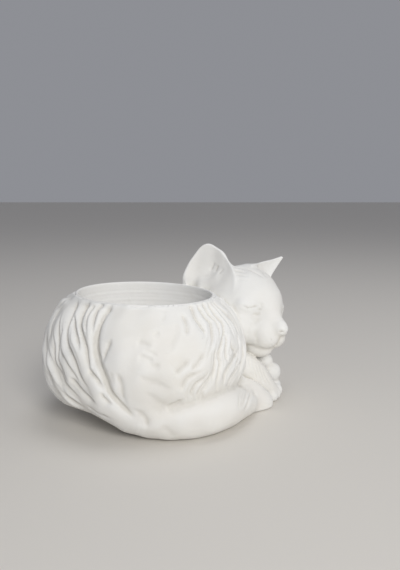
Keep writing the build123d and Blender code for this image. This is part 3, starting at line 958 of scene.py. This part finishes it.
def turnCup():
    outline = []
    for (r0, z0), (r1, z1) in zip(cup["profile"], cup["profile"][1:]):
        count = max(1, int(math.hypot(r1 - r0, z1 - z0) / cup["spacing"]))
        outline += [(r0 + (r1 - r0) * i / count, z0 + (z1 - z0) * i / count) for i in range(count)]
    outline = np.array(outline[1:])
    r, z = outline.T
    inside = (r < cup["ringRadius"]) & (z > cup["ringReach"][0]) & (z < cup["ringReach"][1])
    rings = sum(height * np.sin(z * often + start) for height, often, start in cup["rings"])
    outline[:, 0] += np.where(inside, rings, 0)  # faint turning rings
    n, m = cup["steps"], len(outline)
    a = np.arange(n) * 2 * math.pi / n
    ring = np.stack([np.outer(np.cos(a), outline[:, 0]), np.outer(np.sin(a), outline[:, 0]),
                     np.tile(outline[:, 1], (n, 1))], -1)
    ring[..., 2] -= rimFall(ring[..., 0], ring[..., 2])
    points = np.vstack([ring.reshape(-1, 3), [[0, 0, 0], [0, 0, cup["profile"][-1][1]]]])
    faces = []
    for i in range(n):
        j = (i + 1) % n
        faces += [(i * m + k, j * m + k, j * m + k + 1, i * m + k + 1) for k in range(m - 1)]
        faces += [(n * m, j * m, i * m), (n * m + 1, i * m + m - 1, j * m + m - 1)]
    return points, faces


points, faces = turnCup()
placePiece("planting_cup", points, faces, cast["cupCast"])
print("cup turned")

# The other pieces, each cut from the one field
sections = {
    "torso": {"low": (-36, -36, -1), "high": (32, 36, 41), "voxel": 0.84, "finish": "furCast"},
    "haunch": {"low": (-14, -37, -1), "high": (37, -2, 41), "voxel": 0.76, "finish": "furCast"},
    "shoulder": {"low": (14, -18, -1), "high": (38, 22, 41), "voxel": 0.84, "finish": "furCast"},
    "tail": {"low": (-18, -37, -1), "high": (36, -4, 25), "voxel": 0.8, "finish": "smoothCast"},
    "hind_paw": {"low": (20, -12, -1), "high": (50, 12, 14), "voxel": 0.7, "finish": "smoothCast"},
    "foreleg_right": {"low": (22, -2, -1), "high": (52, 20, 24), "voxel": 0.62, "finish": "smoothCast"},
    "foreleg_left": {"low": (22, 11, -1), "high": (52, 32, 20), "voxel": 0.66, "finish": "smoothCast"},
    "head": {"low": (12, -4, 10), "high": (54, 42, 52), "voxel": 0.64, "finish": "smoothCast"},
    "ear_right": {"low": (8, 8, 34), "high": (36, 26, 57), "voxel": 0.45, "finish": "smoothCast"},
    "ear_left": {"low": (28, 14, 34), "high": (56, 42, 54), "voxel": 0.45, "finish": "smoothCast"},
}
for name, section in sections.items():
    points, quads = skinOf(name, section["low"], section["high"], section["voxel"])
    points = points + outward(points) * dressing(points)[:, None]
    points[:, 2] = np.maximum(points[:, 2], 0)  # nothing sinks into the ground
    piece = placePiece(name, points, quads.tolist(), cast[section["finish"]])
    piece.data.attributes.new("relief", "FLOAT", "POINT").data.foreach_set("value", relief(points, quads))
    print("piece:", name, len(quads), "faces")

# Floor, lights and camera
ground = {"half": 3, "colour": (0.74, 0.71, 0.66, 1), "roughness": 0.8}
floorPaint = bpy.data.materials.new("floorPaint")
floorPaint.use_nodes = True
floorPaint.node_tree.nodes["Principled BSDF"].inputs["Base Color"].default_value = ground["colour"]
floorPaint.node_tree.nodes["Principled BSDF"].inputs["Roughness"].default_value = ground["roughness"]
corners = [(x * ground["half"], y * ground["half"], 0) for x, y in ((-1, -1), (1, -1), (1, 1), (-1, 1))]
floor = newObject("floor", corners, [(0, 1, 2, 3)], floorPaint)

studioAim = (0.005, 0, 0.02)
studio = {
    "key": {"at": (0.17, -0.50, 0.30), "size": 0.22, "watts": 1.68, "tint": (1.0, 0.99, 0.97)},
    "fill": {"at": (0.50, -0.10, 0.22), "size": 0.40, "watts": 0.3, "tint": (1.0, 0.98, 0.95)},
    "top": {"at": (0.06, 0.06, 0.60), "size": 0.34, "watts": 0.62, "tint": (0.98, 0.99, 1.0)},
}
for lampName, lamp in studio.items():
    data = bpy.data.lights.new(lampName, "AREA")
    data.shape = "DISK"
    data.size = lamp["size"]
    data.energy = lamp["watts"]
    data.color = lamp["tint"]
    light = bpy.data.objects.new(lampName, data)
    light.location = lamp["at"]
    bpy.context.scene.collection.objects.link(light)
    toObject = np.array(studioAim) - np.array(lamp["at"])
    swing = math.atan2(toObject[1], toObject[0]) - math.pi / 2
    light.rotation_euler = (math.acos(-unit(toObject)[2]), 0, swing)

world = bpy.data.worlds.new("studio")
world.use_nodes = True
world.node_tree.nodes["Background"].inputs["Color"].default_value = (0.9, 0.92, 1.0, 1)
world.node_tree.nodes["Background"].inputs["Strength"].default_value = 0.30
bpy.context.scene.world = world
bpy.context.scene.view_settings.view_transform = "Standard"

camera = {"at": (0.0181, -0.1962, 0.0744), "down": 9.18, "focus": 600.0, "frame": (400, 570)}
lens = bpy.data.cameras.new("camera")
lens.sensor_fit = "VERTICAL"
lens.sensor_height = 36.0
lens.lens = camera["focus"] / camera["frame"][1] * lens.sensor_height
lens.clip_start = 0.005
viewer = bpy.data.objects.new("camera", lens)
viewer.location = camera["at"]
viewer.rotation_euler = (math.radians(90 - camera["down"]), 0, 0)
bpy.context.scene.collection.objects.link(viewer)
bpy.context.scene.camera = viewer
print("stage set")

bpy.context.view_layer.update()
